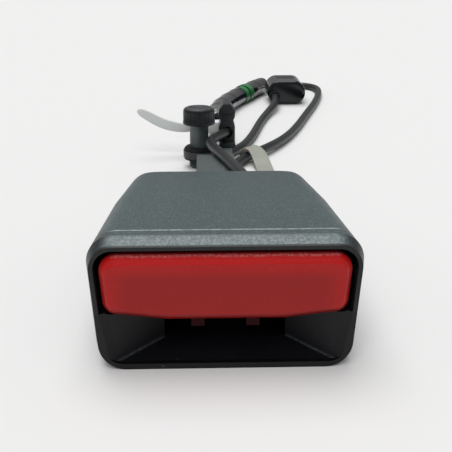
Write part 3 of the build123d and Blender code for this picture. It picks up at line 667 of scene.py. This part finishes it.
def sink(margin, depth, **settings):
    """Insets the selected faces by a margin and sinks what is left into the piece."""
    bpy.ops.mesh.inset(thickness=margin, **settings)
    bpy.ops.mesh.extrude_region_shrink_fatten(TRANSFORM_OT_shrink_fatten={"value": -depth})


def stands_for(piece, node, body="housing"):
    """The piece rides with a body and hides its node."""
    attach(piece, body)
    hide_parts(node)


def turned(name, centre, profile, sides):
    """A turned solid: a disc is extruded from one (radius, height) to the next."""
    bpy.ops.object.select_all(action="DESELECT")
    radius, height = profile[0]
    bpy.ops.mesh.primitive_circle_add(vertices=sides, radius=radius, fill_type="NGON",
                                      location=(*centre, height))
    piece = start_on(name)
    for wider, higher in profile[1:]:
        bpy.ops.mesh.extrude_region_move(
            TRANSFORM_OT_translate={"value": (0, 0, higher - height)})
        bpy.ops.transform.resize(value=(wider / radius, wider / radius, 1))
        radius, height = wider, higher
    return piece


def block(name, low, high):
    """A box between two corners, open in edit mode to be shaped."""
    bpy.ops.object.select_all(action="DESELECT")
    middle = (Vector(low) + Vector(high)) / 2
    bpy.ops.mesh.primitive_cube_add(size=1, location=middle, scale=Vector(high) - Vector(low))
    bpy.ops.object.transform_apply(location=True, rotation=True, scale=True)
    return start_on(name)


def band(name, pairs):
    """A flat band: the far edge of a plane is extruded and moved from pair to pair of points."""
    bpy.ops.object.select_all(action="DESELECT")
    bpy.ops.mesh.primitive_plane_add(size=0.001)
    piece = start_on(name)
    ends = [[0, 2], [1, 3]]
    bpy.ops.object.mode_set(mode="OBJECT")
    for side, across in enumerate(ends):
        for corner, pair in zip(across, pairs[:2]):
            piece.data.vertices[corner].co = pair[side]
    bpy.ops.object.mode_set(mode="EDIT")
    pick(piece, lambda vertex: vertex.index in (2, 3), "vertices")
    for before, pair in zip(pairs[1:], pairs[2:]):
        bpy.ops.mesh.extrude_region_move(
            TRANSFORM_OT_translate={"value": Vector(pair[0]) - Vector(before[0])})
        piece.update_from_editmode()
        moved = [vertex.index for vertex in piece.data.vertices if vertex.select]
        last = max(moved, key=lambda index: (piece.data.vertices[index].co
                                             - Vector(pair[0])).length)
        pick(piece, lambda vertex: vertex.index == last, "vertices")
        bpy.ops.transform.translate(
            value=Vector(pair[1]) - Vector(pair[0]) - Vector(before[1]) + Vector(before[0]))
        pick(piece, lambda vertex: vertex.index in moved, "vertices")
    return piece


def thicken(piece, thickness, material, edge):
    """Smooths a band's bends, gives it its thickness and rounds its edges."""
    bpy.ops.object.mode_set(mode="OBJECT")
    modify(piece, "SUBSURF", levels=2, render_levels=2)
    modify(piece, "SOLIDIFY", thickness=thickness, offset=0.0)
    bpy.ops.object.mode_set(mode="EDIT")
    close_up(piece, material, edge)


# %% [markdown]
# ## Anchor bolt
# The bolt passes through the stalk's eye and a rubber bobbin, and its head is under the cap.
# The thread is cut by extruding the end in short steps, each wider or narrower than the last:
# at this size such rings can't be told from a helix, and the solid stays closed.

# %% Bolt with thread, shank and hexagon head
eye = (-0.0062, 0.16 + front_rim)
thread_radius = 0.0040
thread_depth = 0.00035
thread_pitch = 0.00075
crest_start = 0.45
crest_end = 0.55
shank_radius = 0.0037
thread_end = 0.0036
head_bottom = 0.0174
head_top = 0.0228
head_radius = 0.0056

thread = [(thread_radius - 0.0008, 0.0), (thread_radius - thread_depth, 0.0005)]
while thread[-1][1] + thread_pitch < thread_end:
    foot = thread[-1][1]
    thread += [(thread_radius, foot + thread_pitch * crest_start),
               (thread_radius, foot + thread_pitch * crest_end),
               (thread_radius - thread_depth, foot + thread_pitch)]
anchor_bolt = turned("anchor_bolt_turned", eye,
                     thread + [(shank_radius, thread_end), (shank_radius, head_bottom - 0.0008),
                               (shank_radius + 0.0006, head_bottom)], 48)
close_up(anchor_bolt, bolt_steel)
bolt_head = turned("bolt_head", eye, [
    (head_radius - 0.0006, head_bottom), (head_radius, head_bottom + 0.0004),
    (head_radius, head_top - 0.0006), (head_radius - 0.0007, head_top)], 6)
close_up(bolt_head, bolt_steel, 0.0002)
stands_for(anchor_bolt, "anchor_bolt", "bolt")
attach(bolt_head, "bolt")

# %% [markdown]
# ## Bolt cap
# A snap-on cap keeps hands off the bolt head. It is one shell of even wall, with a rounded
# shoulder, a shallow dish in its top and grip flutes round its skirt. The same lathe makes it:
# the profile starts at the ceiling inside, runs down the bore and up the outside.

# %% Cap, dished and fluted
cap_radius = 0.0064
cap_bottom = 0.0179
cap_top = 0.0245
cap_bore = 0.00565
cap_ceiling = head_top + 0.0001
shoulder = 0.0016
hem_step = 0.00015
hem_top = cap_bottom + 0.0014
flute_turn = 15
flute_share = 7.4
flute_rim = 0.00012
flute_sink = 0.985

cap_profile = [(cap_bore, cap_ceiling), (cap_bore, cap_bottom + 0.0003),
               (cap_bore + 0.0002, cap_bottom), (cap_radius - 0.0002, cap_bottom),
               (cap_radius, cap_bottom + 0.0002), (cap_radius, cap_bottom + 0.0012),
               (cap_radius - hem_step, hem_top),
               (cap_radius - hem_step, cap_top - shoulder - 0.0004)]
for step in range(7):
    turn = math.radians(15 * step)
    cap_profile.append((cap_radius - hem_step - shoulder * (1 - math.cos(turn)),
                        cap_top - shoulder * (1 - math.sin(turn))))
cap_profile += [(0.0042, cap_top), (0.0038, cap_top - 0.0003), (0.0008, cap_top - 0.0004)]
bolt_cap = turned("bolt_cap_moulding", eye, cap_profile, 96)


def on_skirt(face):
    """Every other pair of faces round the plain part of the skirt.

    Until it is closed up, the cap's zero height is its ceiling, where its first ring was.
    """
    turn = math.degrees(math.atan2(face.center.y, face.center.x)) % flute_turn
    return (abs(face.normal.z) < 0.3 and face.center.xy.length > cap_radius - 0.0003
            and turn < flute_share
            and hem_top < face.center.z + cap_ceiling < cap_top - shoulder)


pick(bolt_cap, on_skirt)
print("flutes on", sum(face.select for face in bolt_cap.data.polygons), "faces")
bpy.ops.mesh.inset(thickness=flute_rim)
bpy.ops.transform.resize(value=(flute_sink, flute_sink, 1))
close_up(bolt_cap, cap_black)
stands_for(bolt_cap, "bolt_cap", "bolt")

# %% [markdown]
# ## Springs
# Inside, two coil springs push the button out, a third throws the tongue out, and a leaf
# holds the latch down. The Screw modifier winds a small circle into a coil.

# %% Three coils and a leaf
seat_clearance = 0.00003
wire_radius = 0.00035
wire_sides = 10
steps_per_turn = 24


def coil(name, centre, start, end, radius, wire, turns):
    """A compression spring along Y: a wire's section, wound by a Screw modifier."""
    bpy.ops.object.select_all(action="DESELECT")
    room = wire + seat_clearance
    bpy.ops.mesh.primitive_circle_add(vertices=wire_sides, radius=wire,
                                      location=(centre[0], start + room, centre[1]))
    spring = start_on(name)
    bpy.ops.transform.translate(value=(radius, 0, 0))
    bpy.ops.object.mode_set(mode="OBJECT")
    modify(spring, "SCREW", axis="Y", steps=steps_per_turn, render_steps=steps_per_turn,
           iterations=turns, screw_offset=(end - start - 2 * room) / turns,
           use_smooth_shade=True)
    bpy.ops.object.mode_set(mode="EDIT")
    bpy.ops.mesh.select_all(action="SELECT")
    bpy.ops.mesh.remove_doubles(threshold=0.000001)
    bpy.ops.mesh.fill_holes(sides=0)
    return close_up(spring, spring_steel)


button_seat = 0.0440 + front_rim
button_leg = 0.0274 + front_rim
ejector_seat = 0.0604 + front_rim
ejector_end = 0.0420 + front_rim
button_coil_radius = 0.0020
ejector_coil_radius = 0.00155
button_coils = [coil("button_spring_" + side, (x, 0.0196), button_leg, button_seat,
                     button_coil_radius, wire_radius, turns=5)
                for side, x in (("right", 0.0186), ("left", -0.0186))]
ejector_coil = coil("ejector_spring_coil", (0, 0.0051), ejector_end, ejector_seat,
                    ejector_coil_radius, wire_radius, turns=6)
leaf_half = 0.0025
leaf_middle = 0.00025
leaf_line = [(0.0300, 0.01342), (0.0320, 0.01342), (0.0340, 0.01342), (0.0360, 0.01402),
             (0.0400, 0.01537), (0.0440, 0.01671), (0.0480, 0.01806), (0.0500, 0.01855),
             (0.0520, 0.01865), (0.0550, 0.01835), (0.0585, 0.01797)]
latch_leaf = band("latch_leaf", [(Vector((-leaf_half, y + front_rim, z + leaf_middle)),
                                  Vector((leaf_half, y + front_rim, z + leaf_middle)))
                                 for y, z in leaf_line])
thicken(latch_leaf, 2 * leaf_middle, spring_steel, 0.00008)
for spring in button_coils:
    stands_for(spring, "button_springs")
    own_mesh(spring)
stands_for(ejector_coil, "ejector_spring")
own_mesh(ejector_coil)
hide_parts("latch_spring")
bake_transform(latch_leaf)

# %% [markdown]
# ## Cable ties
# A nylon tie is a strap that runs through a small square head with a pawl in it. The one at
# the clip was left long: its tail twists on edge, tapers and curls up. The cream one is only a
# flat ribbon folded over the lead. All three straps start as bands, bent place by place, so
# that each twist is set where it is; the head is a block with its windows inset and sunk.

# %% Tie at the clip
clip_x = 0.0052
tie_y = 0.179 + front_rim
tie_z = 0.0125
tie_width = 0.0048
tie_thickness = 0.0012
tie_room = 0.0006
loop_radius = lead_diameter / 2 + tie_room + tie_thickness / 2
loop_step = 15


def facing(place, along, turn, width):
    """The two edges of a band at a place: its width is turned about the way it runs."""
    along = Vector(along).normalized()
    level = Vector((0, 1, 0))
    upright = along.cross(level).normalized()
    half = (level * math.cos(math.radians(turn)) + upright * math.sin(math.radians(turn)))
    return (Vector(place) - half * width / 2, Vector(place) + half * width / 2)


loop = []
for step in range(360 // loop_step + 1):
    turn = math.radians(180 - loop_step * step)
    spoke = Vector((math.cos(turn), 0, math.sin(turn))) * loop_radius
    place = Vector((clip_x, tie_y, tie_z)) + spoke
    loop.append((place - Vector((0, tie_width / 2, 0)), place + Vector((0, tie_width / 2, 0))))
tie_loop = band("clip_tie_loop", loop)
thicken(tie_loop, tie_thickness * 0.9, nylon_pale, 0.0002)

tail_places = [(-0.0008, 0.0125), (-0.0046, 0.0124), (-0.0080, 0.0120), (-0.0127, 0.0119),
               (-0.0180, 0.0126), (-0.0228, 0.0142), (-0.0275, 0.0170), (-0.0324, 0.0197)]
tail_turns = [0, 5, 40, 78, 90, 90, 90, 90]
tail_widths = [0.0046, 0.0046, 0.0044, 0.0042, 0.0042, 0.0042, 0.0040, 0.0030]
places = [Vector((x, tie_y, z)) for x, z in tail_places]
pairs = []
for i, place in enumerate(places):
    ahead = places[min(i + 1, len(places) - 1)] - places[max(i - 1, 0)]
    pairs.append(facing(place, ahead, tail_turns[i], tail_widths[i]))
tie_tail = band("clip_tie_tail", pairs)
thicken(tie_tail, tie_thickness, nylon_pale, 0.00025)

head_half = 0.0022
head_half_width = tie_width / 2 + 0.0005
tie_head = block("clip_tie_head", (clip_x - 0.0086, tie_y - head_half_width, tie_z - head_half),
                 (clip_x - 0.0022, tie_y + head_half_width, tie_z + head_half))
pick(tie_head, lambda face: abs(face.normal.x) > 0.9)
sink(0.0007, 0.0012, use_individual=True)
pick(tie_head, lambda face: face.normal.z > 0.9 and face.center.z > tie_z + 0.002)
sink(0.0009, 0.0004)
close_up(tie_head, nylon_pale, 0.0003)

# %% Ribbon round the outer loop
ribbon_path = [
    ((0.0098, 0.1672, 0.0021), (0.0139, 0.1722, 0.0022)),
    ((0.0103, 0.1664, 0.0045), (0.0146, 0.1716, 0.0046)),
    ((0.0116, 0.1650, 0.0061), (0.0160, 0.1700, 0.0063)),
    ((0.0134, 0.1632, 0.0064), (0.0184, 0.1676, 0.0066)),
    ((0.0146, 0.1612, 0.0052), (0.0208, 0.1640, 0.0054)),
    ((0.0156, 0.1580, 0.0028), (0.0222, 0.1596, 0.0030)),
    ((0.0163, 0.1540, 0.0012), (0.0230, 0.1548, 0.0013)),
    ((0.0167, 0.1480, 0.0008), (0.0234, 0.1484, 0.0008)),
    ((0.0168, 0.1360, 0.0008), (0.0234, 0.1360, 0.0008)),
    ((0.0168, 0.1180, 0.0008), (0.0234, 0.1180, 0.0008)),
    ((0.0182, 0.1145, 0.0008), (0.0220, 0.1145, 0.0008)),
]
ribbon = band("ribbon_tie", [[Vector((x, y + front_rim, z)) for x, y, z in pair]
                             for pair in ribbon_path])
ribbon_thickness = 0.0008
thicken(ribbon, ribbon_thickness, nylon_cream, 0.00015)

# %% [markdown]
# ## Lead clip
# A black clip pegged into the stalk keeps the lead beside the bolt. It is a block with a
# narrow ear, pinched above the lead and hollowed in front to keep its wall even. It is made
# in that order: a block, its foot on the stalk, the waist, the ear, the recess, and last the
# bore for the lead.

# %% Clip with a foot, a waist, a recess and a bore
clip_half = 0.0033
clip_front = 0.1675 + front_rim
clip_back = 0.1755 + front_rim
clip_top = 0.0240
clip_foot_bottom = 0.00735
clip_foot_top = 0.0090
clip_foot_front = 0.1617 + front_rim
clip_waist = 0.0170
waist_share = 0.74
ear_share = 0.42
bore_room = 0.0005
lead_clip = block("lead_clip_moulding", (clip_x - clip_half, clip_front, clip_foot_bottom),
                  (clip_x + clip_half, clip_back, clip_top))
for height in (clip_foot_top, 0.0150, clip_waist, 0.0190, 0.0215):
    bpy.ops.mesh.select_all(action="SELECT")
    bpy.ops.mesh.bisect(plane_co=(0, 0, height), plane_no=(0, 0, 1))
pick(lead_clip, lambda face: face.normal.y < -0.9 and face.center.z < clip_foot_top)
bpy.ops.mesh.extrude_region_move(
    TRANSFORM_OT_translate={"value": (0, clip_foot_front - clip_front, 0)})
pick(lead_clip, lambda vertex: abs(vertex.co.z - clip_waist) < 0.0001, "vertices")
bpy.ops.transform.resize(value=(waist_share, 1, 1), center_override=(clip_x, 0, clip_waist))
pick(lead_clip, lambda vertex: vertex.co.z > clip_top - 0.0001, "vertices")
bpy.ops.transform.resize(value=(ear_share, 0.9, 1),
                         center_override=(clip_x, (clip_front + clip_back) / 2, clip_top))
pick(lead_clip, lambda face: face.normal.y < -0.9 and 0.0185 < face.center.z < 0.0225)
sink(0.0013, 0.0007)
close_up(lead_clip, black_plastic, 0.0006, sharp=20)

bpy.ops.object.select_all(action="DESELECT")
bpy.ops.mesh.primitive_cylinder_add(
    vertices=40, radius=lead_diameter / 2 + bore_room, depth=0.03,
    location=(clip_x, clip_front, tie_z), rotation=(math.radians(90), 0, 0))
drill = bpy.context.active_object
bpy.context.view_layer.objects.active = lead_clip
modify(lead_clip, "BOOLEAN", object=drill, operation="DIFFERENCE", solver="EXACT")
bpy.data.objects.remove(drill)
bpy.ops.object.select_all(action="DESELECT")
lead_clip.select_set(True)
bpy.ops.object.shade_smooth_by_angle(angle=math.radians(40))
print("clip is bored for the lead:", len(lead_clip.data.polygons), "faces")
stands_for(lead_clip, "lead_clip")

# %% [markdown]
# ## The lead and what it carries
# The lead is a vinyl sleeve with a soft gloss. Behind the clip a thicker bandage of shiny tape
# covers it, whose laps show as a low spiral step, and a narrow green tape is wound on that as
# a marker. Both are wound on the lead's own line.

# %% Dress the lead
lead_vinyl = plastic("lead_vinyl", (0.016, 0.019, 0.020), (0.030, 0.035, 0.036), 0.42,
                     grain=0.0009, depth=0.00001)
bandage_tape = plastic("bandage_tape", (0.004, 0.005, 0.009), (0.008, 0.010, 0.016), 0.18,
                       grain=0.0016, depth=0.00003, Coat_Weight=0.5, Coat_Roughness=0.1)
green_tape = plastic("green_tape", (0.022, 0.20, 0.055), (0.035, 0.26, 0.08), 0.30,
                     grain=0.0016, depth=0.00002)
switch_lead.data.materials.append(lead_vinyl)


def lead_at(run):
    """The place on the lead's line this far along it, and the way it runs there."""
    for here, there, before, after in zip(lead_points, lead_points[1:], lead_run, lead_run[1:]):
        if after >= run:
            return here.lerp(there, (run - before) / (after - before)), (there - here).normalized()


def ring_at(run, turn, radius):
    """A point beside the lead's line, turned about it from straight up."""
    place, along = lead_at(run)
    side = along.cross(Vector((0, 0, 1))).normalized()
    up = side.cross(along)
    return place + (side * math.sin(turn) + up * math.cos(turn)) * radius


def bandage(name, start, end, radius, lap, step, material):
    """Tape wound on the lead with each turn lying on the last; its edge is a spiral step."""
    sides = 40
    rows = round((end - start) / 0.0006)
    vertices, faces = [], []
    for row in range(rows + 1):
        run = start + (end - start) * row / rows
        rim = min(1, (min(row, rows - row) + 0.35) / 1.5)
        for side in range(sides):
            turn = 2 * math.pi * side / sides
            phase = ((run - start) / lap - side / sides) % 1
            vertices.append(ring_at(run, turn, (radius - step * phase) * (0.9 + 0.1 * rim)))
    for row in range(rows):
        for side in range(sides):
            a, b = row * sides + side, row * sides + (side + 1) % sides
            faces.append((a, b, b + sides, a + sides))
    faces.append(tuple(range(sides))[::-1])
    faces.append(tuple(rows * sides + side for side in range(sides)))
    mesh = bpy.data.meshes.new(name)
    mesh.from_pydata(vertices, [], faces)
    piece = bpy.data.objects.new(name, mesh)
    bpy.context.scene.collection.objects.link(piece)
    bpy.context.view_layer.objects.active = piece
    bpy.ops.object.mode_set(mode="EDIT")
    return close_up(piece, material)


conduit = bandage("bandage", start=0.118, end=0.246, radius=0.0049, lap=0.0140, step=0.00016,
                  material=bandage_tape)
marker_start = 0.2090
marker_advance = 0.0125
marker_turns = 1.7
marker_steps = 32
marker_half = 0.0027
marker_radius = 0.00515
marker_thickness = 0.00018
marker_pairs = []
for step in range(marker_steps + 1):
    share = step / marker_steps
    middle = marker_start + marker_advance * share
    turn = 2 * math.pi * marker_turns * share
    marker_pairs.append((ring_at(middle - marker_half, turn, marker_radius),
                         ring_at(middle + marker_half, turn, marker_radius)))
marker = band("marker_tape", marker_pairs)
thicken(marker, marker_thickness, green_tape, 0.0)

stands_for(switch_lead, "switch_lead")
stands_for(conduit, "lead_conduit")
stands_for(marker, "marker_band")
stands_for(tie_loop, "clip_tie")
for piece in (tie_tail, tie_head):
    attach(piece, "housing")
stands_for(ribbon, "lead_tie")
